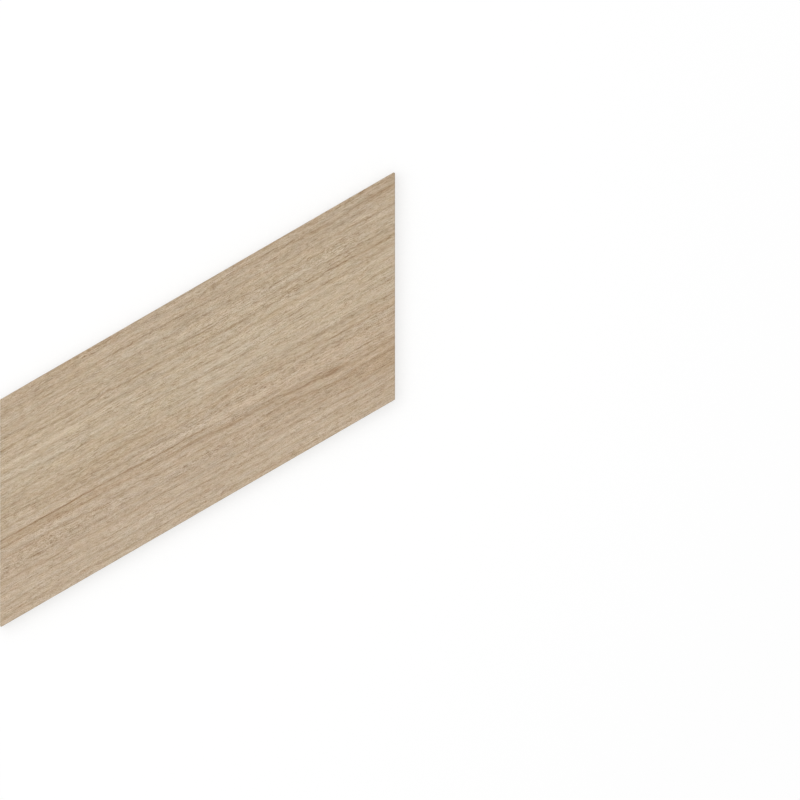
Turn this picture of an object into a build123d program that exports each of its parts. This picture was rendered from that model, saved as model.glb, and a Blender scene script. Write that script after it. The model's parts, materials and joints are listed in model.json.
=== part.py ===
from build123d import *

import os
from math import atan, degrees, radians, sin, tan

# A chevron tile for herringbone floors: one dry-pressed porcelain rhomboid, lying face up.
# Millimetres. +X runs along the long sides, +Z out of the decorated face, and the origin is
# at the middle of the underside, on the plane that the tile rests on.

# Outline, at the face.
LONG_SIDE = 205.0
SIDE_RATIO = 2.0  # long side over mitred end
POINT_ANGLE = 60.0  # degrees between a long side and an end, at the two sharp points
THICKNESS = 9.0

# Edges of the pressing.
ARRIS_RADIUS = 0.45  # round between the face and the walls
CORNER_RADIUS = 0.6  # of the four corners, seen in plan
WALL_DRAFT = 1.0  # degrees, so that the pressing leaves its die
HEEL_WIDTH = 1.6  # bevel at the foot of the walls, measured along the underside
HEEL_HEIGHT = 1.2  # the same bevel, measured up the wall

# Keying grid pressed into the underside: shallow pockets, with ribs left between them.
POCKET_ROWS = 7  # across the tile
POCKET_COLUMNS = 16  # along the tile
POCKET_DEPTH = 0.9
POCKET_DRAFT = 30.0  # degrees that the walls of a pocket lean out as it opens
POCKET_CORNER_CUT = 1.3  # taken off each side at the corners of a pocket
RIB_WIDTH = 2.4  # on the resting plane
RIM_WIDTH = 5.5  # plain band between the heel and the outermost pockets

end_side = LONG_SIDE / SIDE_RATIO
lean = 1 / tan(radians(POINT_ANGLE))  # shift of the ends along X for each unit of Y
stretch = 1 / sin(radians(POINT_ANGLE))  # length along one side for each unit square to the other
heel_slope = HEEL_WIDTH / HEEL_HEIGHT
foot_inset = (THICKNESS - HEEL_HEIGHT) * tan(radians(WALL_DRAFT)) + HEEL_WIDTH


def rhomboid(long_side, end):
    """A parallelogram about the origin, its long sides along X and its ends leaning to +X."""
    half_long = long_side / 2
    half_width = end / stretch / 2
    shift = half_width * lean
    return Polygon(
        (-half_long - shift, -half_width),
        (half_long - shift, -half_width),
        (half_long + shift, half_width),
        (-half_long + shift, half_width),
    )


def tile_outline(inset):
    """The tile's outline, moved in by inset, square to each side."""
    trim = 2 * inset * stretch
    return rhomboid(LONG_SIDE - trim, end_side - trim)


def pressed_blank():
    """The tile before its underside is keyed: drafted walls, bevelled heel and round arris.

    It narrows away from the face, so it is shaped face down and then mirrored to lie face up.
    """
    outline = fillet(tile_outline(0).vertices(), CORNER_RADIUS)
    walls = extrude(outline, amount=THICKNESS, taper=WALL_DRAFT)
    heel_outline = tile_outline(foot_inset - THICKNESS * heel_slope)
    heel = extrude(heel_outline, amount=THICKNESS, taper=degrees(atan(heel_slope)))
    blank = Pos(0, 0, THICKNESS) * mirror(walls & heel, about=Plane.XY)
    arris = blank.faces().sort_by(Axis.Z)[-1].edges()
    return fillet(arris, ARRIS_RADIUS)


def keying_pockets():
    """The studs of the lower die, in rows and columns that follow the tile's own slant."""
    border = 2 * (foot_inset + RIM_WIDTH) * stretch
    rib = RIB_WIDTH * stretch
    pitch_along = (LONG_SIDE - border + rib) / POCKET_COLUMNS
    pitch_up = (end_side - border + rib) / POCKET_ROWS
    mouth = rhomboid(pitch_along - rib, pitch_up - rib)
    mouth = chamfer(mouth.vertices(), POCKET_CORNER_CUT)
    stud = extrude(mouth, amount=POCKET_DEPTH, taper=POCKET_DRAFT)
    studs = []
    for row in range(POCKET_ROWS):
        across = (row - (POCKET_ROWS - 1) / 2) * pitch_up / stretch
        for column in range(POCKET_COLUMNS):
            along = (column - (POCKET_COLUMNS - 1) / 2) * pitch_along
            studs.append(Pos(along + across * lean, across, 0) * stud)
    return studs


tile = pressed_blank() - keying_pockets()
tile.label = "chevron_tile"

os.makedirs("parts", exist_ok=True)
export_step(tile, "parts/chevron_tile.step")
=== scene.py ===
import json
from math import cos, radians, sin, tan

import bmesh
import bpy
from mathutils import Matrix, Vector

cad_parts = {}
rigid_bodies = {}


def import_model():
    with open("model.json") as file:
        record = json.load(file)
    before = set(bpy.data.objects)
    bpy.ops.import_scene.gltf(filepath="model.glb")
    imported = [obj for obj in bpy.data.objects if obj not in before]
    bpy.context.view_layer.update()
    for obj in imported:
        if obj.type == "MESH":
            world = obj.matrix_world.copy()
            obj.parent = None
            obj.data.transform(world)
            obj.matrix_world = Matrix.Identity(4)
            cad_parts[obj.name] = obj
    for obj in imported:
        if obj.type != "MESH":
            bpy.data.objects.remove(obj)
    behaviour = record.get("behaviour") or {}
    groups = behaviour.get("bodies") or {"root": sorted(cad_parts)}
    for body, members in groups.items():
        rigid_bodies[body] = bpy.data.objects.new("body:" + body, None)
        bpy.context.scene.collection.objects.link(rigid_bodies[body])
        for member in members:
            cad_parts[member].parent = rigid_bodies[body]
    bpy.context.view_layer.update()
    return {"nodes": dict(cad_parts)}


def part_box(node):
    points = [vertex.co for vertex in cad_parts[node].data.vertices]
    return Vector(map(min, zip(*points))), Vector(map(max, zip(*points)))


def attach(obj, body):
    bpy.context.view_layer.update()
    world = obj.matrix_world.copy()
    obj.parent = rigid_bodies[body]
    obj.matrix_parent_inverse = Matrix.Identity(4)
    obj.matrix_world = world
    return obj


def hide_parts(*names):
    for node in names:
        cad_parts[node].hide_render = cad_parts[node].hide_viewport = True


# A wood-look porcelain chevron tile, lying face up. Objects are in metres, in the part's frame.
# Named sizes are in millimetres unless a comment says metres. X runs along the grain and Y across it.
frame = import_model()

MM = 0.001
NODE = "chevron_tile"

# The tile's outline and its rounded top edge.
POINT_ANGLE = radians(60)
LEAN = 1 / tan(POINT_ANGLE)
STRETCH = 1 / sin(POINT_ANGLE)
LENGTH = 205.0
WIDTH = LENGTH / 2 / STRETCH
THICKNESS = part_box(NODE)[1].z / MM
ARRIS = 0.45

# The pressed face: a fine grid that follows the outline, how deep the grain is in it, the darkness of
# the print from which it sinks and at which it is deepest, and how far from the edge it is full.
FACE_INSET = 0.65
FACE_ROWS = 350
FACE_COLUMNS = 140
PRESS_DEPTH = 0.12
PRESS_RANGE = (-12.0, 30.0)
PRESS_FADE = 1.2

# The underside: how much its ribs are softened, in how many steps, and how high they reach at most.
RIB_SOFTENING = 0.22
RIB_STEPS = 2
UNDERSIDE_TOP = 1.0

# Points of the CAD mesh this near are one point, in metres, and faces this flat are one face.
WELD = 1e-7
FLAT_ANGLE = radians(0.3)
# Edges at least this sharp: those that are softened, and those that are drawn sharp.
RIB_ANGLE = radians(15)
SHARP_ANGLE = radians(32)
# How far below the top a point still counts as on the flat face, in millimetres.
FACE_SLACK = 0.001

# The tile's materials, as its faces number them.
FACE, WALL, UNDERSIDE = range(3)
# A face whose normal points down further than this is the underside's, and a wall whose normal points
# along Y further than this is one of the long ones.
FACING_DOWN = -0.3
FACING_SIDEWAYS = 0.7

# Strips of the square texture map: where each one starts, and its length and height.
FACE_STRIP = ((0.01, 0.385), (0.98, 0.605))
UNDERSIDE_STRIP = ((0.01, 0.10), (0.98, 0.27))
FRONT_WALL_STRIP = ((0.01, 0.06), (0.98, 0.022))
BACK_WALL_STRIP = ((0.01, 0.03), (0.98, 0.022))
LEFT_END_STRIP = ((0.01, 0.003), (0.48, 0.022))
RIGHT_END_STRIP = ((0.51, 0.003), (0.48, 0.022))

# The photograph's frame, in its own pixels. It looks straight down, with the grain at 30 degrees.
# The camera's height is in metres.
PHOTO_SIZE = 800
LONG_SIDE_PIXELS = 456.2
TILE_CENTRE_PIXELS = (197.47, 399.58)
GRAIN_TURN = radians(30)
CAMERA_HEIGHT = 1.0

# How far a curve's heights may lie from 0.
CURVE_REACH = 50.0


class Graph:
    """Adds nodes to a tree and links them. Most calls return an output socket."""

    def __init__(self, tree):
        self.tree = tree

    def add(self, kind, inputs=None, **settings):
        node = self.tree.nodes.new(kind)
        for name, value in settings.items():
            setattr(node, name, value)
        for key, value in (inputs or {}).items():
            self.feed(node.inputs[key], value)
        return node

    def feed(self, socket, value):
        if isinstance(value, bpy.types.NodeSocket):
            self.tree.links.new(value, socket)
        else:
            socket.default_value = value

    def math(self, operation, *values):
        return self.add("ShaderNodeMath", dict(enumerate(values)), operation=operation).outputs[0]

    def total(self, *values):
        result = values[0]
        for value in values[1:]:
            result = self.math("ADD", result, value)
        return result

    def product(self, *values):
        result = values[0]
        for value in values[1:]:
            result = self.math("MULTIPLY", result, value)
        return result

    def vector(self, x, y, z=0.0):
        return self.add("ShaderNodeCombineXYZ", {0: x, 1: y, 2: z}).outputs[0]

    def split(self, vector):
        return self.add("ShaderNodeSeparateXYZ", {0: vector}).outputs[:3]

    def vector_math(self, operation, *values):
        return self.add("ShaderNodeVectorMath", dict(enumerate(values)), operation=operation).outputs[0]

    def dot(self, first, second):
        inputs = {0: first, 1: second}
        return self.add("ShaderNodeVectorMath", inputs, operation="DOT_PRODUCT").outputs["Value"]

    def step(self, value, start, end):
        """0 before start and 1 after end, with a smooth rise between them."""
        inputs = {"Value": value, "From Min": start, "From Max": end}
        return self.add("ShaderNodeMapRange", inputs, interpolation_type="SMOOTHSTEP").outputs[0]

    def hill(self, distance):
        """1 where distance is 0, falling off on both sides as a bell curve."""
        return self.math("EXPONENT", self.product(distance, distance, -1.0))

    def mix(self, amount, first, second):
        """first where amount is 0, second where it is 1; both are vectors or colours."""
        node = self.add("ShaderNodeMix", {"Factor": amount}, data_type="VECTOR")
        node.clamp_factor = True
        # Sockets 4 and 5 are the node's vectors, and output 1 is their mixture.
        self.feed(node.inputs[4], first)
        self.feed(node.inputs[5], second)
        return node.outputs[1]

    def scaled(self, vector, amount):
        return self.add("ShaderNodeVectorMath", {0: vector, "Scale": amount}, operation="SCALE").outputs[0]

    def curve(self, x, points):
        """Where x is between the first point and the last, from 0 to 1, and a smooth line's height there.

        The height runs from 0 to 1 over CURVE_REACH on both sides of 0.
        """
        start, span = points[0][0], points[-1][0] - points[0][0]
        along = self.math("MULTIPLY_ADD", x, 1 / span, -start / span)
        node = self.add("ShaderNodeFloatCurve", {"Value": along})
        handles = node.mapping.curves[0].points
        while len(handles) < len(points):
            handles.new(0.5, 0.5)
        for handle, (px, py) in zip(handles, points):
            handle.location = ((px - start) / span, 0.5 + py / (2 * CURVE_REACH))
        node.mapping.update()
        return along, node.outputs[0]

    def curve_height(self, x, points):
        """The height at x of a smooth line through the points."""
        return self.math("MULTIPLY_ADD", self.curve(x, points)[1], 2 * CURVE_REACH, -CURVE_REACH)

    def clouds(self, place, scale, detail, roughness=0.5):
        """Soft noise from 0 to 1, with finer noise on it the more detail it has."""
        inputs = {"Vector": place, "Scale": scale, "Detail": detail, "Roughness": roughness}
        return self.add("ShaderNodeTexNoise", inputs).outputs[0]

    def perlin(self, place):
        return self.clouds(place, 1.0, 0.0)

    def around(self, middle, noise, amount):
        """middle, with amount times noise on both sides of it; the noise runs from 0 to 1."""
        return self.math("MULTIPLY_ADD", self.math("SUBTRACT", noise, 0.5), amount, middle)

    def use(self, function, *values):
        """The same as function(self, *values), with the function's nodes made once, in a group."""
        kind = self.tree.bl_idname
        name = function.__name__ + " in " + kind
        tree = bpy.data.node_groups.get(name)
        if tree is None:
            tree = bpy.data.node_groups.new(name, kind)
            for k, value in enumerate(values):
                is_vector = getattr(value, "type", None) == "VECTOR"
                socket = "NodeSocketVector" if is_vector else "NodeSocketFloat"
                tree.interface.new_socket("Value %d" % k, in_out="INPUT", socket_type=socket)
            tree.interface.new_socket("Result", in_out="OUTPUT", socket_type="NodeSocketFloat")
            inner = Graph(tree)
            result = function(inner, *inner.add("NodeGroupInput").outputs[:len(values)])
            inner.feed(inner.add("NodeGroupOutput").inputs[0], result)
        node = self.add(kind.replace("NodeTree", "NodeGroup"), dict(enumerate(values)), node_tree=tree)
        return node.outputs[0]


# The veneer's lines, from the front of the tile to its back: half-widths above and below each one, how
# much it darkens the print (or lightens it, below 0), how warm it is, and points along it.
STREAKS = (
    # Thin even lines near the front.
    (0.35, 0.5, 19, 0.2, (
        (-128, -41.8), (-112, -41.4), (-95, -41.9), (-84, -41.4), (-65, -41.8), (-40, -41.1),
        (-22, -41.5), (0, -42.2), (12, -42.9), (30, -42.5), (50, -42.1), (62, -42.3), (82, -41.9))),
    (0.4, 0.5, 18, 0.2, (
        (-132, -37.4), (-118, -37.3), (-104, -36.7), (-84, -36.4), (-66, -37.1), (-55, -37.4),
        (-43, -36.8), (-28, -37.3), (-12, -37.7), (2, -38.2), (14, -38.9), (25, -38.3), (34, -38.9),
        (60, -38.9), (86, -38.7))),
    (0.35, 0.5, 22, 0.0, (
        (-127, -32.5), (-105, -32.3), (-98, -32.7), (-78, -32.4), (-60, -33.3), (-46, -32.8),
        (-32, -33.3), (-15, -34.2), (0, -34.3), (12, -35.1), (27, -34.6), (40, -35.3), (58, -36.0),
        (88, -35.6))),
    (0.33, 0.5, 21, 0.0, (
        (-125, -27.8), (-102, -28.0), (-92, -28.8), (-78, -28.0), (-65, -28.8), (-45, -28.6),
        (-28, -29.1), (-12, -29.3), (0, -30.2), (11, -31.0), (28, -30.9), (42, -31.7), (60, -32.3),
        (90, -32.6))),
    (0.3, 0.5, 17, 0.0, (
        (-122, -23.7), (-100, -24.1), (-70, -24.7), (-50, -25.3), (-36, -25.3), (-20, -25.8),
        (-5, -26.4), (12, -26.9), (24, -27.4), (42, -28.4), (60, -29.2), (92, -29.3))),
    (0.3, 0.4, 9, 0.0, ((10, -26.9), (20, -26.2), (28, -25.6))),
    (0.4, 0.6, 19, 0.4, (
        (-119, -18.2), (-95, -18.7), (-76, -18.5), (-60, -19.9), (-50, -19.3), (-38, -19.3),
        (-28, -20.1), (-10, -20.5), (5, -21.2), (12, -21.8), (26, -21.8))),
    # Two warm bands, with the strong line along the upper one.
    (0.5, 0.8, 24, 0.5, (
        (20, -21.7), (35, -22.0), (42, -22.3), (50, -23.2), (60, -23.8), (66, -23.6), (76, -23.9),
        (96, -23.6))),
    (0.5, 0.5, 13, 0.5, ((32, -20.8), (42, -21.2), (52, -22.4))),
    (2.2, 2.8, 6, 0.9, ((20, -24.4), (50, -25.4), (97, -26.0))),
    (0.5, 0.6, 17, 0.5, ((54, -19.9), (64, -20.1), (70, -20.6), (84, -20.4), (96, -20.3))),
    (1.5, 1.7, 8, 1.0, ((-117, -12.9), (-60, -13.4), (-20, -14.3), (5, -16.4), (50, -18.2), (97, -20.4))),
    (0.4, 0.5, 14, 0.8, ((-117, -11.9), (-100, -12.3), (-84, -13.4), (-62, -14.0), (-46, -13.7))),
    (0.4, 0.6, 20, 0.8, (
        (-117, -13.9), (-100, -13.9), (-92, -14.2), (-74, -14.4), (-58, -15.0), (-44, -15.2),
        (-30, -15.5), (-18, -15.5), (-5, -15.8), (5, -16.9), (20, -17.6), (36, -18.2), (52, -19.0),
        (70, -19.4))),
    (0.35, 0.5, 16, 0.6, ((0, -15.2), (10, -16.3), (30, -16.4), (44, -17.3), (52, -18.1), (66, -18.7))),
    (0.35, 0.5, 15, 0.0, (
        (4, -13.6), (14, -14.2), (30, -14.1), (42, -14.9), (56, -15.7), (64, -16.2), (72, -16.2),
        (98, -16.1))),
    (0.3, 0.36, 56, 0.5, (
        (-115, -10.7), (-95, -11.1), (-80, -11.5), (-60, -11.7), (-40, -12.0), (-26, -12.6),
        (-12, -12.8), (0, -13.4))),
    # Lines up to the middle.
    (0.35, 0.45, 11, 0.0, ((40, -9.8), (55, -10.1), (80, -10.2), (101, -10.3))),
    (0.35, 0.5, 13, 0.0, (
        (-60, -8.1), (-40, -8.0), (-25, -8.4), (-6, -9.0), (10, -8.2), (20, -8.5), (38, -8.7),
        (66, -9.2), (103, -9.2))),
    (0.3, 0.4, 26, 0.4, (
        (36, -5.7), (55, -6.3), (62, -5.9), (70, -6.3), (78, -6.1), (96, -6.5), (104, -6.8))),
    (0.4, 0.6, 20, 1.0, ((0, -7.3), (6, -6.2), (14, -5.0), (24, -4.8), (40, -5.6))),
    (0.4, 0.55, 16, 0.6, (
        (-110, -2.2), (-100, -2.5), (-86, -3.8), (-74, -4.5), (-48, -4.9), (-30, -5.6), (-18, -6.0),
        (0, -6.0))),
    (0.4, 0.6, 17, 0.8, (
        (-106, 1.6), (-95, 0.6), (-84, -0.4), (-62, -0.7), (-40, -1.3), (-16, -1.7), (0, -2.0),
        (10, -1.2), (22, -1.3), (34, -1.9), (46, -2.1), (56, -1.5), (72, -1.8), (107, -2.3))),
    (0.35, 0.55, 13, 0.3, (
        (-106, 4.4), (-84, 4.4), (-74, 5.0), (-58, 4.1), (-46, 3.9), (-34, 3.0), (-14, 3.7), (-4, 3.0),
        (12, 3.2), (28, 2.6), (44, 2.9), (62, 3.6), (76, 3.1), (92, 3.6), (110, 3.4))),
    (0.3, 0.4, 8, 0.0, ((-100, 6.0), (-84, 5.7), (-66, 6.0), (-40, 5.6))),
    (0.35, 0.5, 18, 0.0, (
        (-103, 10.4), (-82, 10.5), (-64, 9.7), (-48, 9.3), (-26, 9.4), (-10, 9.3), (0, 8.3), (16, 7.9),
        (26, 7.5), (38, 8.2), (58, 8.1), (76, 7.8), (90, 7.5), (97, 8.3), (113, 8.0))),
    (0.35, 0.5, 13, 0.0, (
        (-100, 14.3), (-84, 14.3), (-70, 13.4), (-60, 13.6), (-46, 12.9), (-30, 13.3), (-12, 12.8),
        (0, 12.6), (20, 12.0), (34, 11.9), (46, 12.1), (72, 11.8), (92, 12.4), (114, 12.6))),
    (0.3, 0.4, 9, 0.0, ((-98, 16.0), (-84, 15.7), (-66, 15.1), (-48, 15.4), (-34, 14.8), (-20, 15.2))),
    # Lines near the back.
    (0.35, 0.55, 18, 0.0, (
        (-98, 19.0), (-62, 18.9), (-44, 18.5), (-30, 18.4), (-12, 18.0), (0, 17.2), (12, 17.0),
        (34, 16.8), (50, 16.7), (64, 16.4), (84, 16.8), (98, 16.7), (118, 17.0))),
    (0.45, 0.65, 27, 0.4, (
        (-95, 23.8), (-76, 24.1), (-58, 23.6), (-42, 23.4), (-22, 22.8), (-6, 22.6), (10, 21.9),
        (26, 20.9), (40, 20.6), (50, 20.4), (62, 21.0), (72, 20.6), (82, 20.9), (96, 20.5), (120, 20.3))),
    (0.7, 0.9, 9, 1.0, ((-92, 24.8), (-60, 24.6))),
    (0.3, 0.45, 12, 0.0, ((-66, 26.0), (-50, 25.6), (-30, 25.0), (-8, 24.2), (12, 23.0), (22, 22.2))),
    (0.35, 0.55, 19, 0.0, (
        (-92, 28.8), (-76, 28.4), (-60, 28.0), (-44, 27.6), (-24, 27.4), (-6, 26.8), (6, 25.7),
        (18, 25.2), (34, 24.7), (50, 24.3), (62, 24.5), (72, 24.6), (86, 24.4), (100, 23.8), (122, 23.9))),
    (0.35, 0.5, 15, 0.3, (
        (-26, 31.6), (-8, 31.5), (8, 30.6), (20, 30.8), (33, 31.0), (42, 30.0), (58, 30.2), (72, 29.9),
        (86, 29.4), (104, 29.2), (125, 28.9))),
    (0.35, 0.5, 12, 0.0, ((-84, 32.6), (-66, 33.2), (-50, 33.6), (-34, 32.8), (-18, 32.4))),
    (0.35, 0.5, 12, 0.0, ((-60, 35.2), (-40, 34.7), (-26, 34.6))),
    (0.35, 0.5, 14, 0.0, ((4, 32.8), (14, 33.0), (24, 33.0))),
    (0.35, 0.5, 18, 0.2, (
        (-86, 38.8), (-66, 38.0), (-50, 37.7), (-34, 37.0), (-20, 36.7), (-2, 36.6), (12, 36.1),
        (30, 35.7), (44, 35.3), (54, 34.4), (66, 34.0), (76, 33.3), (92, 32.9), (106, 32.4), (127, 31.8))),
    (0.3, 0.4, 9, 0.0, ((-82, 41.2), (-60, 42.2), (-40, 41.0), (-18, 41.6), (4, 41.2), (20, 40.8))),
    (0.6, 0.6, 18, 0.8, (
        (24, 40.4), (42, 41.3), (56, 41.1), (70, 40.2), (84, 39.0), (96, 38.9), (108, 40.2), (120, 39.6),
        (131, 39.2))),
    (0.6, 0.9, 10, 0.6, ((-84, 43.6), (30, 43.6), (132, 43.2))),
    # Pale lines.
    (0.8, 0.8, -5, 0.0, (
        (-100, -30.3), (-60, -31.0), (-20, -31.9), (20, -33.0), (60, -34.0), (92, -34.2))),
    (0.8, 0.8, -6, 0.0, (
        (-112, -16.1), (-80, -16.5), (-40, -17.3), (-10, -18.6), (14, -19.7), (60, -21.6))),
    (0.9, 0.9, -7, -0.3, (
        (-106, -9.0), (-80, -10.2), (-40, -10.9), (0, -11.6), (30, -12.5), (60, -13.9), (98, -14.2))),
    (0.6, 0.6, -6, 0.0, ((-104, -3.9), (-92, -5.8), (-82, -9.2), (-60, -10.0))),
    (0.8, 0.8, -5, 0.0, ((-90, 2.4), (-60, 2.0), (-20, 0.6), (20, 0.4), (60, 0.3), (104, 0.6))),
    (0.7, 0.7, -8, 0.0, ((-97, 12.4), (-78, 12.0), (-56, 11.9), (-34, 11.2))),
    (0.7, 0.7, -7, 0.0, ((-90, 17.4), (-70, 16.6), (-50, 16.8), (-34, 16.6))),
    (0.5, 0.5, -8, 0.0, ((-92, 21.6), (-76, 22.0), (-62, 21.3))),
    (0.4, 0.4, -7, 0.0, ((10, 10.2), (40, 10.7), (62, 10.2), (80, 10.4), (108, 10.6))),
    (0.9, 0.9, -5, 0.0, ((24, 14.2), (50, 14.1), (80, 14.3), (112, 14.8))),
    (0.9, 0.9, -5, 0.0, ((-6, 28.6), (20, 27.8), (44, 26.4), (70, 26.6), (110, 27.0))),
)

# Short dark dashes: middle, half-length, and how much each one darkens the print.
DASHES = (
    (60.5, -43.5, 3.0, 20), (-71, -35.9, 1.6, 16), (-46, -32.8, 3.0, 8), (32, -26.5, 1.8, 18),
    (26.5, -24.4, 1.6, 16), (-8.5, -24.7, 1.6, 15), (-20, -23.3, 1.5, 28), (-42, -23.7, 2.0, 13),
    (-53, -23.9, 2.0, 10), (-50, -22.2, 2.0, 10), (-96.5, -22.9, 2.2, 22), (-87, -20.3, 3.0, 18),
    (46.5, -24.6, 3.0, 14), (63, -25.1, 2.6, 14), (-77, -18.4, 2.4, 12), (7, -17.1, 2.0, 22),
    (50, -18.9, 1.6, 12), (60, -18.5, 3.2, 16), (-13, -15.0, 2.0, 20), (-13, -15.9, 1.6, 14),
    (-88, -11.3, 4.0, 20), (-108, -11.9, 1.6, 14), (14.5, -9.4, 1.5, 16), (-5, -9.4, 1.3, 14),
    (11, -8.2, 2.0, 24), (17.5, -8.6, 2.0, 26), (27, -8.2, 1.6, 16), (-25.5, -8.3, 1.8, 18),
    (-32, -7.9, 2.2, 14), (-46, -7.9, 2.4, 13), (-62, -7.9, 2.0, 16), (-72, -7.7, 2.0, 14),
    (-28.5, -7.1, 1.4, 14), (-95, -7.0, 2.0, 22), (4.5, -6.9, 1.8, 22), (-62, -6.2, 2.0, 20),
    (-86, -5.7, 2.4, 12), (-80, -7.4, 2.2, 12), (-68, -5.6, 2.4, 12), (-103, -2.6, 2.4, 18),
    (-99, 1.5, 2.0, 12), (-33, 2.8, 1.4, 16), (-38, 3.8, 2.4, 10), (-69, 3.5, 3.0, 14),
    (-79, 7.0, 1.6, 12), (-29, 9.3, 2.6, 12), (-15, 9.2, 2.0, 16), (24.5, 11.8, 2.6, 20),
    (-28, 13.2, 2.6, 18), (-57, 13.9, 2.2, 14), (-75, 13.6, 3.4, 18), (20, 14.2, 1.8, 12),
    (-38, 14.0, 1.8, 13), (-26.5, 15.1, 1.5, 14), (42, 16.4, 1.6, 12), (49, 16.6, 2.2, 12),
    (76, 16.3, 2.2, 12), (-33, 18.2, 1.8, 12), (-61, 18.8, 2.8, 12), (51, 19.5, 3.0, 10),
    (48, 20.2, 1.8, 16), (28.5, 20.7, 1.8, 14), (-54, 20.4, 3.6, 18), (92, 20.8, 1.8, 14),
    (59, 21.6, 1.2, 18), (56, 22.4, 2.0, 12), (83, 22.3, 1.7, 44), (-24, 22.3, 2.2, 20),
    (-12, 22.3, 1.8, 12), (15, 23.0, 1.6, 12), (-61, 23.2, 1.6, 12), (34, 24.8, 2.0, 12),
    (108, 24.8, 1.5, 15), (-57, 25.6, 2.2, 14), (113, 26.1, 2.2, 18), (57, 27.8, 3.4, 22),
    (41.5, 29.9, 1.6, 12), (50.5, 30.2, 1.6, 24), (-27, 30.2, 2.0, 12), (82, 31.6, 1.4, 16),
    (107, 32.1, 1.6, 30), (62, 32.3, 1.8, 18), (11.5, 33.0, 2.6, 12), (-33, 33.0, 3.0, 10),
    (-56.5, 35.3, 2.8, 28), (-65, 35.2, 1.6, 16), (-76.5, 38.7, 2.0, 16), (91, 38.2, 2.0, 20),
    (83, 38.5, 2.2, 28), (-27, 39.8, 2.4, 14), (68, 39.8, 3.4, 18), (112.5, 39.6, 2.0, 16),
    (33, 40.5, 2.0, 16), (90, 41.0, 3.0, 14), (-68, 40.9, 1.8, 12), (118, 39.3, 4.0, 16),
    (12, 43.3, 3.4, 10),
)

DASH_HALF_WIDTH = 0.34
DASH_STRENGTH = 0.9
# How far from its ends a streak is full, as a length and as a share of the streak at most.
STREAK_FADE = 5.0
LONGEST_FADE = 0.25
# A streak's warmth is given for one that darkens by this much.
WARMTH_DEPTH = 14.0

# Soft patches: centre, half-lengths, turn in degrees, how much each one darkens, and its warmth.
PATCHES = (
    ((0.5, -1.0), (6.5, 2.2), 58, -8, -0.6),
    ((6.0, 6.0), (5.0, 2.0), 30, -8, -0.6),
    ((-2.0, 33.6), (10.0, 1.6), -10, -11, -1.0),
    ((9.0, 39.0), (4.0, 1.6), 0, -8, -1.0),
    ((-24.0, 39.0), (4.0, 1.5), -15, -8, -0.8),
    ((-27.0, 35.8), (5.0, 1.0), 0, -8, -0.4),
    ((-46.0, 28.2), (5.0, 1.0), 0, -7, 0.0),
    ((47.0, 28.8), (3.5, 1.6), 0, -8, -0.4),
    ((54.0, 36.4), (5.0, 2.2), -25, -6, -0.4),
    ((-95.0, -8.6), (12.0, 1.2), 0, -7, -0.5),
    ((-4.0, -10.6), (22.0, 1.3), -2, -9, -1.0),
    ((62.0, -12.4), (34.0, 1.6), -1, -3, -0.2),
    ((-40.0, 3.0), (5.0, 1.4), 0, 11, 1.0),
    ((-20.0, 24.8), (8.0, 1.6), 0, 10, 1.4),
    ((-90.0, 2.5), (9.0, 1.6), -4, 5, 0.6),
    ((-61.0, 39.4), (5.0, 0.9), 0, 13, 0.2),
    ((-62.0, -7.0), (4.0, 1.2), 0, 7, 0.4),
    ((51.0, 32.0), (2.0, 2.0), 0, 8, 0.2),
    ((85.0, 39.0), (6.0, 1.2), 0, 8, 0.6),
    ((118.0, 39.4), (7.0, 1.0), 0, 8, 0.8),
    ((40.0, -21.8), (9.0, 0.9), -4, 8, 0.8),
    ((8.0, -16.8), (5.0, 1.0), -6, 8, 0.6),
    ((85.0, -27.5), (30.0, 4.5), 0, 5, 0.8),
    ((100.0, -31.0), (22.0, 11.0), 0, 5, 2.0),
    ((124.0, 39.0), (12.0, 6.0), 0, 5, 2.5),
    ((-82.0, 0.5), (10.0, 2.4), 0, -10, 0.0),
    ((40.0, 25.5), (9.0, 2.4), 0, -9, 0.6),
    ((30.0, -15.0), (28.0, 2.2), -3, -6, 0.0),
    ((-50.0, -15.0), (14.0, 2.2), 0, -4, 0.0),
    ((8.0, -35.5), (18.0, 2.6), 0, 5, 0.4),
    ((10.0, -5.0), (90.0, 2.4), 0, 0, 0.8),
    ((75.0, -29.0), (55.0, 12.0), 0, 3, 1.1),
    ((0.0, -23.0), (40.0, 3.5), -3, 0, 1.0),
    ((50.0, 25.5), (60.0, 5.0), -2, 0, 1.1),
    ((95.0, -4.0), (14.0, 3.0), 0, 0, 1.4),
)

# Where pores crowd: centre and half-lengths.
PORE_FIELDS = (
    ((-63.0, -7.0), (16.0, 1.8)),
    ((-88.0, -20.5), (24.0, 3.0)),
    ((-8.0, -24.0), (24.0, 1.5)),
    ((20.0, -25.5), (16.0, 1.8)),
    ((62.0, -24.6), (26.0, 1.0)),
    ((18.0, -8.6), (24.0, 1.0)),
    ((52.0, 22.0), (34.0, 2.2)),
    ((38.0, 27.5), (22.0, 2.4)),
    ((56.0, 36.8), (6.0, 1.6)),
    ((80.0, 27.0), (30.0, 4.0)),
    ((25.0, -10.5), (75.0, 1.6)),
)

# How dark the print is from its front to its back, apart from its lines, and how pink: Y and amount.
DARK_ZONES = (
    (-45, -3), (-32, -1.5), (-20, 2), (-12, 0), (-5, 4), (3, -3),
    (15, -4), (25, 0), (31, -1), (38, 4), (45, 4),
)
PINK_ZONES = ((-45, 0.2), (-12, 0.5), (0, -0.3), (28, -0.2), (45, 0.4))

# Noise: how far apart two seeds that follow each other are drawn, and the spread that it has at first.
SEED_SPACING = 7.31
NOISE_SPREAD = 0.125

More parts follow.
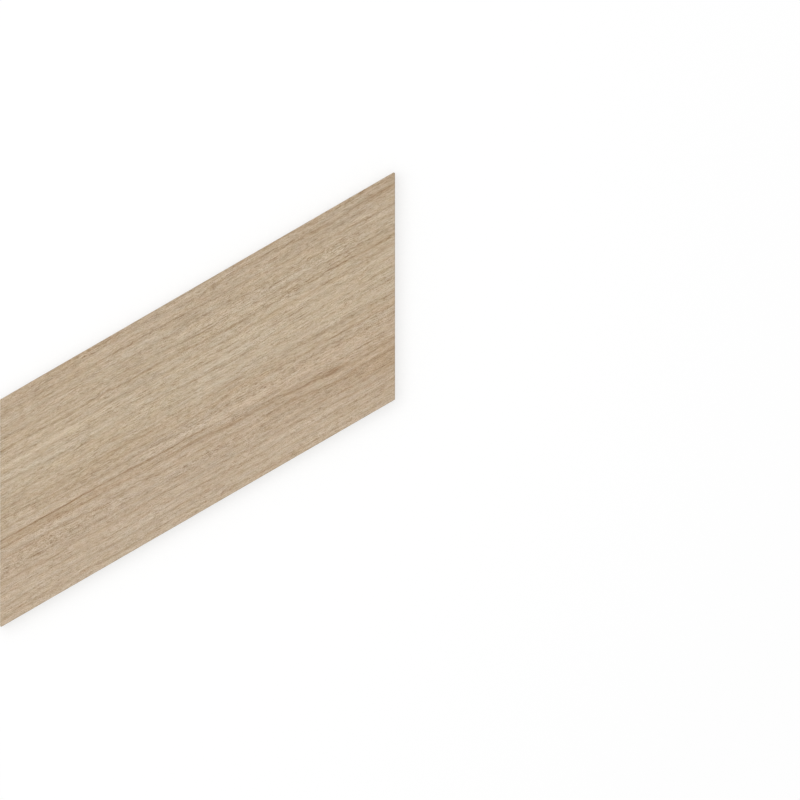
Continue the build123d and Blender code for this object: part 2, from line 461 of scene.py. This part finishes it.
# The print's background: sizes along and across the grain, seed, lean to dark lines, and depth.
LAYERS = (
    (220.0, 10.0, 3, 0.0, 1.2),
    (180.0, 2.8, 4, 0.0, 1.4),
    (120.0, 1.4, 5, 0.1, 1.3),
    (60.0, 2.2, 6, 0.0, 1.4),
    (9.0, 1.3, 8, 0.0, 1.9),
)
# Straight fibres: length and width, length and width of the breaks in them, seed, and depth.
FIBRES = (
    (40.0, 0.42, 6.0, 1.4, 13, 3.7),
    (10.0, 0.36, 3.0, 0.7, 14, 4.6),
    (3.0, 0.42, 1.6, 0.8, 15, 6.8),
)
# Specks, as in LAYERS, and how much more dark fine grain stands out than pale.
SPECKS = (
    (0.4, 0.36, 16, 0.2, 10.5),
    (1.4, 0.38, 20, 0.2, 5.8),
    (2.6, 0.8, 23, 0.2, 2.4),
)
DARK_LEAN = 0.003
# Other noise in the figure: sizes along and across the grain, seed, and depth.
WANDER = (24.0, 9.0, 1, 0.12)
RIPPLE = (5.0, 2.0, 2, 0.06)
LINE_PULSE = (9.0, 2.5, 9, 0.12)
CALM_AREAS = (16.0, 4.0, 19, 0.1)
WARM_CLOUDS = (60.0, 9.0, 11, 0.5)
WARM_BANDS = (110.0, 3.0, 17, 0.5)
WARM_FLECKS = (4.0, 1.4, 18, 0.8)
PINK_FLECKS = (4.5, 1.8, 12, 0.35)
# Pores: sizes and seed, the noise at which one begins and is full, and how much it darkens.
PORES = (1.5, 0.42, 10)
PORE_RISE = (1.2, 2.6)
PORE_DEPTH = 46.0
# How strong lines and fine grain are, what fine grain gains where pores crowd and behind the calm front,
# where that front ends, and how many pores there are outside the crowds.
LINE_STRENGTH = 0.93
FINE_STRENGTH = 0.83
CROWD_STRENGTH = 0.26
BACK_STRENGTH = 0.1
CALM_FRONT = (-30.0, -22.0)
STRAY_PORES = 0.16
# How much the grain drifts across the tile per millimetre along it, and more so beside the strong line.
DRIFT = 0.014
DRIFT_BESIDE_LINE = 0.024
STRONG_LINE = -17.0
STRONG_LINE_REACH = 8.0
# How much a fibre leans to the dark, how it comes and goes, and how far on its breaks' seeds are.
FIBRE_LEAN = 0.16
BREAK_DEPTH = 0.2
BREAK_MEAN = 1.0
BREAK_SEED = 40


def noise(g, x, y, along, across, seed):
    """Smooth noise about 0 with a spread of about 1, stretched to the given sizes."""
    place = g.vector(g.math("DIVIDE", x, along), g.math("DIVIDE", y, across), g.product(seed, SEED_SPACING))
    return g.math("DIVIDE", g.math("SUBTRACT", g.perlin(place), 0.5), NOISE_SPREAD)


def lean_dark(g, value, lean):
    """The value with its dark side drawn out and its pale side held back."""
    return g.math("MULTIPLY_ADD", g.math("MULTIPLY_ADD", value, value, -1.0), lean, value)


def layer(g, x, y, along, across, seed, lean, depth):
    """Noise whose dark side is drawn out by lean, times depth."""
    return g.product(lean_dark(g, noise(g, x, y, along, across, seed), lean), depth)


def vary(g, x, y, size, start=0.0):
    """start plus noise of the given sizes, seed and depth."""
    return g.math("MULTIPLY_ADD", g.use(noise, x, y, *size[:3]), size[3], start)


def fibres(g, x, y, along, across, break_along, break_across, seed, depth):
    """Straight fibres that come and go along the grain, dark more than pale."""
    value = lean_dark(g, noise(g, x, y, along, across, seed), FIBRE_LEAN)
    breaks = noise(g, x, y, break_along, break_across, g.total(seed, BREAK_SEED))
    strength = g.math("MULTIPLY_ADD", breaks, BREAK_DEPTH, BREAK_MEAN)
    return g.product(value, strength, depth)


def streak_profile(g, along, height, y, above, below, fade, depth, pulse):
    """How much a streak darkens a point; along and height are the streak's own curve there."""
    offset = g.math("SUBTRACT", y, g.math("MULTIPLY_ADD", height, 2 * CURVE_REACH, -CURVE_REACH))
    up = g.math("MAXIMUM", g.math("DIVIDE", offset, above), 0.0)
    down = g.math("MINIMUM", g.math("DIVIDE", offset, below), 0.0)
    near_end = g.math("MINIMUM", along, g.math("SUBTRACT", 1.0, along))
    return g.product(g.hill(g.total(up, down)), g.step(near_end, 0.0, fade), depth, pulse)


def streak(g, x, y, above, below, depth, pulse, line):
    """How much one streak darkens the print at x, y."""
    along, height = g.curve(x, line)
    fade = min(STREAK_FADE / (line[-1][0] - line[0][0]), LONGEST_FADE)
    return g.use(streak_profile, along, height, y, above, below, fade, depth, pulse)


def bell(g, place, centre_x, centre_y, a, b, c, d):
    """1 at the centre, falling off as a bell over an ellipse."""
    away = g.vector_math("SUBTRACT", place, g.vector(centre_x, centre_y))
    along = g.dot(away, g.vector(a, b))
    across = g.dot(away, g.vector(c, d))
    distance = g.math("MULTIPLY_ADD", along, along, g.product(across, across))
    return g.math("EXPONENT", g.product(distance, -1.0))


def patch(g, place, centre, half, turn=0):
    """1 in the middle of a turned ellipse, falling off smoothly."""
    c, s = cos(radians(turn)), sin(radians(turn))
    return g.use(bell, place, *centre, c / half[0], s / half[0], -s / half[1], c / half[1])


def grain_place(g, place):
    """Where a place in millimetres lies in the grain, and how strong lines are there.

    Gives x, the wandering y, y with the grain's drift taken off, and the strength.
    """
    x, y, _ = g.split(place)
    beside_line = g.hill(g.math("DIVIDE", g.math("SUBTRACT", y, STRONG_LINE), STRONG_LINE_REACH))
    drift = g.product(x, g.math("MULTIPLY_ADD", beside_line, DRIFT_BESIDE_LINE, DRIFT))
    pulse = vary(g, x, y, LINE_PULSE, LINE_STRENGTH)
    wander = vary(g, x, y, WANDER)
    ripple = vary(g, x, y, RIPPLE)
    y = g.total(y, wander, ripple)
    return x, y, g.total(y, drift), pulse


def grain_lines(g, x, y, s, pulse):
    """How dark and how warm the grain's lines, dashes and patches make the print.

    Cycles keeps a value from the node that makes it to the last one that needs it, and has little room.
    Each amount here is added as soon as it is known, and noise that is made from these places comes last.
    """
    dark = g.curve_height(y, DARK_ZONES)
    warm = 0.0
    for above, below, depth, warmth, line in STREAKS:
        amount = streak(g, x, y, above, below, depth, pulse, line)
        dark = g.total(dark, amount)
        if warmth:
            warm = g.math("MULTIPLY_ADD", amount, warmth / WARMTH_DEPTH, warm)
    here = g.vector(x, y)
    for centre, half, turn, depth, warmth in PATCHES:
        amount = patch(g, here, centre, half, turn)
        dark = g.math("MULTIPLY_ADD", amount, depth, dark)
        if warmth:
            warm = g.math("MULTIPLY_ADD", amount, warmth, warm)
    for centre_x, centre_y, half, depth in DASHES:
        amount = patch(g, here, (centre_x, centre_y), (half, DASH_HALF_WIDTH))
        dark = g.math("MULTIPLY_ADD", amount, depth * DASH_STRENGTH, dark)
    for size in LAYERS:
        dark = g.total(dark, g.use(layer, x, s, *size))
    return dark, warm


def wood_figure(g, place):
    """The veneer's figure at a place in millimetres: darkness, warmth and pinkness."""
    x, y, s, pulse = grain_place(g, place)
    dark, warm = grain_lines(g, x, y, s, pulse)

    crowd = STRAY_PORES
    for centre, half in PORE_FIELDS:
        crowd = g.total(crowd, patch(g, place, centre, half))
    crowd = g.math("MINIMUM", crowd, 1.0)
    pores = g.product(g.step(g.use(noise, x, s, *PORES), *PORE_RISE), crowd)
    dark = g.math("MULTIPLY_ADD", pores, PORE_DEPTH, dark)
    calm = vary(g, x, s, CALM_AREAS, FINE_STRENGTH)
    behind_front = g.step(y, *CALM_FRONT)
    strength = g.total(g.product(crowd, CROWD_STRENGTH), calm, g.product(behind_front, BACK_STRENGTH))
    fine = 0.0
    for size in FIBRES:
        fine = g.total(fine, g.use(fibres, x, s, *size))
    for size in SPECKS:
        fine = g.total(fine, g.use(layer, x, s, *size))
    fine = g.math("MULTIPLY_ADD", g.product(fine, fine), DARK_LEAN, fine)
    dark = g.math("MULTIPLY_ADD", fine, strength, dark)

    warm = vary(g, x, y, WARM_CLOUDS, warm)
    warm = vary(g, x, s, WARM_BANDS, warm)
    warm = vary(g, x, s, WARM_FLECKS, warm)
    pink = vary(g, x, s, PINK_FLECKS, g.curve_height(y, PINK_ZONES))
    return dark, warm, pink


# The print's mean colour as it shows on a display, and the ways in which it varies.
PRINT_MEAN = (185.5 / 255, 165.2 / 255, 139.3 / 255)
DARKER = (-0.66 / 255, -0.72 / 255, -0.77 / 255)
WARMER = (0.79 / 255, 0.04 / 255, -0.73 / 255)
PINKER = (0.44 / 255, -0.88 / 255, 0.44 / 255)
DISPLAY_GAMMA = 2.2

# Display colours of the unglazed body, of the thin coat under the print, and of the kiln wash.
BODY = (0.735, 0.685, 0.61)
UNDERCOAT = (0.80, 0.775, 0.73)
KILN_WASH = (0.83, 0.805, 0.765)
# The darker colour that the underside takes deep in its pockets.
POCKET_DARK_COLOUR = (0.66, 0.60, 0.52)

# Below, noise is given as its waves in a millimetre, its detail and, where it isn't 0.5, its roughness.
# A share is part of 1, a tone or roughness says how much it changes there, and a bump is the depth of
# the fine relief.

# The glaze: sizes along and across and seeds of its fibres and grit, and what each does to it.
GLAZE_FIBRES = (3.0, 0.35, 21)
GLAZE_GRIT = (0.5, 0.5, 22)
GLAZE_ROUGHNESS = 0.62
GLAZE_FIBRE_ROUGHNESS = 0.02
GLAZE_GRIT_ROUGHNESS = 0.015
GLAZE_FIBRE_SHARE = 0.5
GLAZE_BUMP = 0.004

# The fired body: its clouds and grains, and how many specks there are in a millimetre, from where to
# where one darkens, as a share of the way between two, and how much.
CLOUDS = (0.12, 2.0)
CLOUD_TONE = 0.10
GRAINS = (2.2, 1.0)
GRAIN_TONE = 0.16
SPECK_SCALE = 0.8
SPECK_EDGE = (0.17, 0.10)
SPECK_TONE = -0.16

# The walls: how high the coat under the print begins, how high the print does, and how unevenly. Then
# the marks of the die, drawn out upwards, and what the grains and the lip of glaze add to the roughness.
UNDERCOAT_EDGE = (8.0, 8.15)
PRINT_EDGE = (8.25, 8.4)
EDGE_WAVES = (0.22, 2.0)
EDGE_UNEVENNESS = 0.5
DIE_MARKS = (1.0, 1.0)
DIE_MARK_STRETCH = (2.5, 2.5, 0.25)
DIE_MARK_SHARE = 0.8
WALL_ROUGHNESS = 0.75
WALL_GRAIN_ROUGHNESS = 0.1
LIP_ROUGHNESS = -0.18
WALL_BUMP = 0.03

# The underside: heights at which the pockets' darker colour begins and is full, and wash is gone and
# full; and how the wash is worn off.
POCKET_DARKENING_HEIGHTS = (0.3, 0.85)
POCKET_DARKENING_SHARE = 0.6
WASH_HEIGHTS = (0.25, 0.02)
WASH_SHARE = 0.75
WEAR = (0.09, 4.0, 0.65)
WEAR_EDGE = (0.38, 0.62)
UNDERSIDE_ROUGHNESS = 0.78
UNDERSIDE_GRAIN_ROUGHNESS = 0.08
WASH_ROUGHNESS = 0.08
UNDERSIDE_BUMP = 0.04


def new_material(name):
    """A material with nothing but its output, and where its points are, in metres."""
    material = bpy.data.materials.new(name)
    material.use_nodes = True
    material.node_tree.nodes.clear()
    g = Graph(material.node_tree)
    surface = g.add("ShaderNodeOutputMaterial").inputs["Surface"]
    return material, g, surface, g.add("ShaderNodeTexCoord").outputs["Object"]


def fired_material(name):
    """A material of the tile with nothing but its shader, and where its points are, in millimetres."""
    material, g, surface, here = new_material(name)
    shader = g.add("ShaderNodeBsdfPrincipled")
    g.feed(surface, shader.outputs[0])
    return material, g, shader, g.scaled(here, 1 / MM)


def finish_material(g, shader, display_colour, roughness, height, depth):
    """Links the colour, the roughness, and a bump of height times depth, in millimetres."""
    colour = g.add("ShaderNodeGamma", {"Color": display_colour, "Gamma": DISPLAY_GAMMA}).outputs[0]
    g.feed(shader.inputs["Base Color"], colour)
    g.feed(shader.inputs["Roughness"], roughness)
    bump = g.add("ShaderNodeBump", {"Height": g.product(height, depth), "Distance": MM, "Strength": 1.0})
    g.feed(shader.inputs["Normal"], bump.outputs[0])


def print_material():
    """The decorated face: a matt glaze over the veneer print."""
    material, g, shader, place = fired_material("veneer_print")
    dark, warm, pink = wood_figure(g, place)
    shade = PRINT_MEAN
    for amount, way in ((dark, DARKER), (warm, WARMER), (pink, PINKER)):
        shade = g.vector_math("ADD", shade, g.scaled(way, amount))
    x, y, _ = g.split(place)
    fibre = g.use(noise, x, y, *GLAZE_FIBRES)
    grit = g.use(noise, x, y, *GLAZE_GRIT)
    fibre_roughness = g.product(fibre, GLAZE_FIBRE_ROUGHNESS)
    grit_roughness = g.product(grit, GLAZE_GRIT_ROUGHNESS)
    roughness = g.total(GLAZE_ROUGHNESS, fibre_roughness, grit_roughness)
    height = g.total(g.product(fibre, GLAZE_FIBRE_SHARE), grit)
    finish_material(g, shader, shade, roughness, height, GLAZE_BUMP)
    return material


def body_shade(g, place):
    """The fired body's colour, softly clouded, with dark and light grains, and the grains themselves."""
    clouds = g.clouds(place, *CLOUDS)
    grains = g.clouds(place, *GRAINS)
    specks = g.add("ShaderNodeTexVoronoi", {"Vector": place, "Scale": SPECK_SCALE}).outputs["Distance"]
    dark_specks = g.step(specks, *SPECK_EDGE)
    tone = g.around(1.0, clouds, CLOUD_TONE)
    tone = g.around(tone, grains, GRAIN_TONE)
    tone = g.math("MULTIPLY_ADD", dark_specks, SPECK_TONE, tone)
    return g.scaled(BODY, tone), grains


def wall_material():
    """The pressed walls: bare body, with the undercoat and a lip of glaze under the arris."""
    material, g, shader, place = fired_material("pressed_wall")
    x, y, z = g.split(place)
    shade, grains = body_shade(g, place)
    level = g.around(z, g.clouds(place, *EDGE_WAVES), EDGE_UNEVENNESS)
    coat = g.step(level, *UNDERCOAT_EDGE)
    lip = g.step(level, *PRINT_EDGE)
    shade = g.mix(coat, shade, UNDERCOAT)
    shade = g.mix(lip, shade, PRINT_MEAN)
    stretched = g.vector(*(g.product(value, size) for value, size in zip((x, y, z), DIE_MARK_STRETCH)))
    marks = g.clouds(stretched, *DIE_MARKS)
    height = g.math("ADD", grains, g.product(marks, DIE_MARK_SHARE))
    roughness = g.math("MULTIPLY_ADD", grains, WALL_GRAIN_ROUGHNESS, WALL_ROUGHNESS)
    roughness = g.math("MULTIPLY_ADD", lip, LIP_ROUGHNESS, roughness)
    finish_material(g, shader, shade, roughness, height, WALL_BUMP)
    return material


def underside_material():
    """The keyed underside: kiln wash worn off in places on the ribs and rim, darker deep in the pockets."""
    material, g, shader, place = fired_material("keyed_underside")
    z = g.split(place)[2]
    shade, grains = body_shade(g, place)
    # Darker the deeper a point lies in the pockets.
    shade = g.mix(g.product(g.step(z, *POCKET_DARKENING_HEIGHTS), POCKET_DARKENING_SHARE), shade, POCKET_DARK_COLOUR)
    wear = g.clouds(place, *WEAR)
    left = g.product(g.step(wear, *WEAR_EDGE), g.step(z, *WASH_HEIGHTS))
    shade = g.mix(g.product(left, WASH_SHARE), shade, KILN_WASH)
    roughness = g.math("MULTIPLY_ADD", grains, UNDERSIDE_GRAIN_ROUGHNESS, UNDERSIDE_ROUGHNESS)
    roughness = g.math("MULTIPLY_ADD", left, WASH_ROUGHNESS, roughness)
    finish_material(g, shader, shade, roughness, grains, UNDERSIDE_BUMP)
    return material


def face_point(across, along):
    """A point of the face grid, in metres: across and along run from -1 to 1 over the grid."""
    y = across * (WIDTH / 2 - FACE_INSET)
    x = along * (LENGTH / 2 - FACE_INSET * STRETCH) + y * LEAN
    return Vector((x, y, THICKNESS)) * MM


def add_face_grid(bm):
    """The face's fine grid; returns the edges round it."""
    rows = []
    for row in range(FACE_ROWS + 1):
        across = 2 * row / FACE_ROWS - 1
        places = [2 * k / FACE_COLUMNS - 1 for k in range(FACE_COLUMNS + 1)]
        rows.append([bm.verts.new(face_point(across, along)) for along in places])
    for front, back in zip(rows, rows[1:]):
        for k in range(FACE_COLUMNS):
            bm.faces.new((front[k], front[k + 1], back[k + 1], back[k]))
    right = [row[-1] for row in rows[1:-1]]
    left = [row[0] for row in rows[-2:0:-1]]
    ring = rows[0] + right + rows[-1][::-1] + left
    return [bm.edges.get((a, b)) for a, b in zip(ring, ring[1:] + ring[:1])]


def tile_mesh():
    """The CAD tile with softer ribs below and a face that is fine enough to be pressed."""
    bm = bmesh.new()
    bm.from_mesh(frame["nodes"][NODE].data)
    bmesh.ops.remove_doubles(bm, verts=bm.verts, dist=WELD)
    bmesh.ops.dissolve_limit(bm, angle_limit=FLAT_ANGLE, verts=bm.verts, edges=bm.edges)

    ribs = [
        edge for edge in bm.edges
        if edge.is_manifold and edge.calc_face_angle() > RIB_ANGLE
        and max(vert.co.z for vert in edge.verts) < UNDERSIDE_TOP * MM
    ]
    softening = RIB_SOFTENING * MM
    bmesh.ops.bevel(bm, geom=ribs, offset=softening, segments=RIB_STEPS, profile=0.5, affect="EDGES")

    top = (THICKNESS - FACE_SLACK) * MM
    flat = [face for face in bm.faces if min(vert.co.z for vert in face.verts) > top]
    in_flat = set(flat)
    border = [edge for face in flat for edge in face.edges if not in_flat.issuperset(edge.link_faces)]
    bmesh.ops.delete(bm, geom=flat, context="FACES_ONLY")

    # The gap between the arris and the grid is filled, and its slivers are turned into better triangles.
    filled = bmesh.ops.triangle_fill(bm, edges=border + add_face_grid(bm), normal=(0, 0, 1))["geom"]
    gap = [item for item in filled if isinstance(item, bmesh.types.BMFace)]
    in_gap = set(gap)
    inside = [edge for edge in bm.edges if edge.link_faces and in_gap.issuperset(edge.link_faces)]
    bmesh.ops.beautify_fill(bm, faces=gap, edges=inside)
    bmesh.ops.recalc_face_normals(bm, faces=bm.faces)

    mesh = bpy.data.meshes.new("printed_tile")
    bm.to_mesh(mesh)
    bm.free()
    return mesh


def dress(mesh):
    """Gives each face its material and its place in the texture map."""
    for material in (print_material(), wall_material(), underside_material()):
        mesh.materials.append(material)
    uv = mesh.uv_layers.new(name="OFBake")
    for face in mesh.polygons:
        place = face.center / MM
        if place.z > THICKNESS - ARRIS:
            face.material_index = FACE
        elif face.normal.z < FACING_DOWN:
            face.material_index = UNDERSIDE
        else:
            face.material_index = WALL
        for loop in face.loop_indices:
            point = mesh.vertices[mesh.loops[loop].vertex_index].co / MM
            uv.data[loop].uv = map_place(face.material_index, face.normal, point)
    mesh.polygons.foreach_set("use_smooth", [True] * len(mesh.polygons))
    mesh.set_sharp_from_angle(angle=SHARP_ANGLE)


def map_place(kind, normal, point):
    """Where a point of the tile lies in the square texture map, by its face's material and normal."""
    along = (point.x - point.y * LEAN) / LENGTH + 0.5
    across = point.y / WIDTH + 0.5
    height = point.z / THICKNESS
    if kind == FACE:
        strip, place = FACE_STRIP, (along, across)
    elif kind == UNDERSIDE:
        strip, place = UNDERSIDE_STRIP, (along, across)
    elif abs(normal.y) > FACING_SIDEWAYS:
        strip = FRONT_WALL_STRIP if normal.y < 0 else BACK_WALL_STRIP
        place = (along, height)
    else:
        strip = LEFT_END_STRIP if normal.x < 0 else RIGHT_END_STRIP
        place = (across, height)
    start, size = strip
    return start[0] + size[0] * place[0], start[1] + size[1] * place[1]


def press_face(piece):
    """Presses the grain into the face, in register with the print."""
    tree_kind = "GeometryNodeTree"
    tree = bpy.data.node_groups.new("press_face", tree_kind)
    tree.interface.new_socket("Geometry", in_out="INPUT", socket_type="NodeSocketGeometry")
    tree.interface.new_socket("Geometry", in_out="OUTPUT", socket_type="NodeSocketGeometry")
    g = Graph(tree)
    here = g.add("GeometryNodeInputPosition").outputs[0]
    place = g.scaled(here, 1 / MM)
    lines, _ = grain_lines(g, *grain_place(g, place))
    x, y, z = g.split(place)
    from_side = g.math("SUBTRACT", WIDTH / 2, g.math("ABSOLUTE", y))
    slant_x = g.math("ABSOLUTE", g.math("MULTIPLY_ADD", y, -LEAN, x))
    from_end = g.math("DIVIDE", g.math("SUBTRACT", LENGTH / 2, slant_x), STRETCH)
    nearest = g.math("MINIMUM", from_side, from_end)
    fade = g.step(nearest, FACE_INSET, FACE_INSET + PRESS_FADE)
    sunk = g.product(g.step(lines, *PRESS_RANGE), fade, -PRESS_DEPTH * MM)
    on_face = g.math("GREATER_THAN", z, THICKNESS - FACE_SLACK)
    moved = g.add("GeometryNodeSetPosition", {"Selection": on_face, "Offset": g.vector(0.0, 0.0, sunk)})
    g.feed(moved.inputs["Geometry"], g.add("NodeGroupInput").outputs[0])
    g.feed(g.add("NodeGroupOutput").inputs[0], moved.outputs[0])

    piece.modifiers.new("press_face", "NODES").node_group = tree
    shaped = piece.evaluated_get(bpy.context.evaluated_depsgraph_get())
    mesh = bpy.data.meshes.new_from_object(shaped)
    piece.modifiers.clear()
    plain = piece.data
    piece.data = mesh
    bpy.data.meshes.remove(plain)
    bpy.data.batch_remove([group for group in bpy.data.node_groups if group.bl_idname == tree_kind])


def add_object(name, data):
    """A new object in the scene."""
    made = bpy.data.objects.new(name, data)
    bpy.context.scene.collection.objects.link(made)
    return made


def make_tile():
    """The tile with its print, in place of the CAD tile."""
    mesh = tile_mesh()
    dress(mesh)
    piece = add_object("printed_tile", mesh)
    press_face(piece)
    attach(piece, "root")
    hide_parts(NODE)


WHITE = (1, 1, 1, 1)

# The floor, in metres: its half-size, the pale colour by which it lights the tile, how strong its own
# white is, what share of what the camera sees near the tile is that white, and from where to where that
# share rises to all of it.
FLOOR = 3.0
FLOOR_COLOUR = (0.9, 0.9, 0.9, 1)
GLOW_STRENGTH = 1.05
GLOW_SHARE = 0.6
FAR_FLOOR = (0.25, 0.7)

# How bright the white surround is as a light, and the soft box's side in metres, power in watts and
# place in metres.
SURROUND = 0.5
LAMP_SIZE = 1.6
LAMP_POWER = 11.6
LAMP_PLACE = (-0.12, 0.2, 1.3)


def seen_directly(g):
    """1 where the camera, or a reflection in the tile, looks at a surface; 0 where it only sheds light."""
    path = g.add("ShaderNodeLightPath")
    direct = g.math("MAXIMUM", path.outputs["Is Camera Ray"], path.outputs["Is Glossy Ray"])
    return g.math("MAXIMUM", direct, path.outputs["Is Transmission Ray"])


def make_floor():
    """A white floor. The camera sees it lighter than it is lit, with the shadow, and white far off."""
    mesh = bpy.data.meshes.new("floor")
    corners = [(-FLOOR, -FLOOR, 0), (FLOOR, -FLOOR, 0), (FLOOR, FLOOR, 0), (-FLOOR, FLOOR, 0)]
    mesh.from_pydata(corners, [], [(0, 1, 2, 3)])
    floor = add_object("floor", mesh)
    material, g, surface, here = new_material("floor_white")
    matt = g.add("ShaderNodeBsdfDiffuse", {"Color": FLOOR_COLOUR}).outputs[0]
    seen = g.add("ShaderNodeBsdfDiffuse", {"Color": WHITE}).outputs[0]
    glow = g.add("ShaderNodeEmission", {"Color": WHITE, "Strength": GLOW_STRENGTH}).outputs[0]
    away = g.add("ShaderNodeVectorMath", {0: here}, operation="LENGTH").outputs["Value"]
    share = g.math("MULTIPLY_ADD", g.step(away, *FAR_FLOOR), 1 - GLOW_SHARE, GLOW_SHARE)
    bright = g.add("ShaderNodeMixShader", {0: share, 1: seen, 2: glow}).outputs[0]
    mixed = g.add("ShaderNodeMixShader", {0: seen_directly(g), 1: matt, 2: bright}).outputs[0]
    g.feed(surface, mixed)
    mesh.materials.append(material)


def make_lights():
    """A wide soft box overhead in an even white surround."""
    world = bpy.data.worlds.new("surround")
    world.use_nodes = True
    g = Graph(world.node_tree)
    strength = g.math("MULTIPLY_ADD", seen_directly(g), 1 - SURROUND, SURROUND)
    background = world.node_tree.nodes["Background"]
    g.feed(background.inputs["Color"], WHITE)
    g.feed(background.inputs["Strength"], strength)
    bpy.context.scene.world = world
    lamp = bpy.data.lights.new("soft_box", "AREA")
    lamp.shape = "SQUARE"
    lamp.size = LAMP_SIZE
    lamp.energy = LAMP_POWER
    box = add_object("soft_box", lamp)
    box.location = LAMP_PLACE
    box.rotation_euler = (-box.location).to_track_quat("-Z", "Y").to_euler()


def make_camera():
    """Straight down, without perspective, framed as the photograph is."""
    pixel = LENGTH / LONG_SIDE_PIXELS * MM
    data = bpy.data.cameras.new("camera")
    data.type = "ORTHO"
    data.ortho_scale = PHOTO_SIZE * pixel
    camera = add_object("camera", data)
    right = Vector((cos(GRAIN_TURN), -sin(GRAIN_TURN), 0))
    up = Vector((sin(GRAIN_TURN), cos(GRAIN_TURN), 0))
    across = PHOTO_SIZE / 2 - TILE_CENTRE_PIXELS[0]
    down = PHOTO_SIZE / 2 - TILE_CENTRE_PIXELS[1]
    camera.location = (right * across - up * down) * pixel + Vector((0, 0, CAMERA_HEIGHT))
    camera.rotation_euler = (0, 0, -GRAIN_TURN)
    bpy.context.scene.camera = camera


make_tile()
make_floor()
make_lights()
make_camera()
bpy.context.scene.view_settings.view_transform = "Standard"
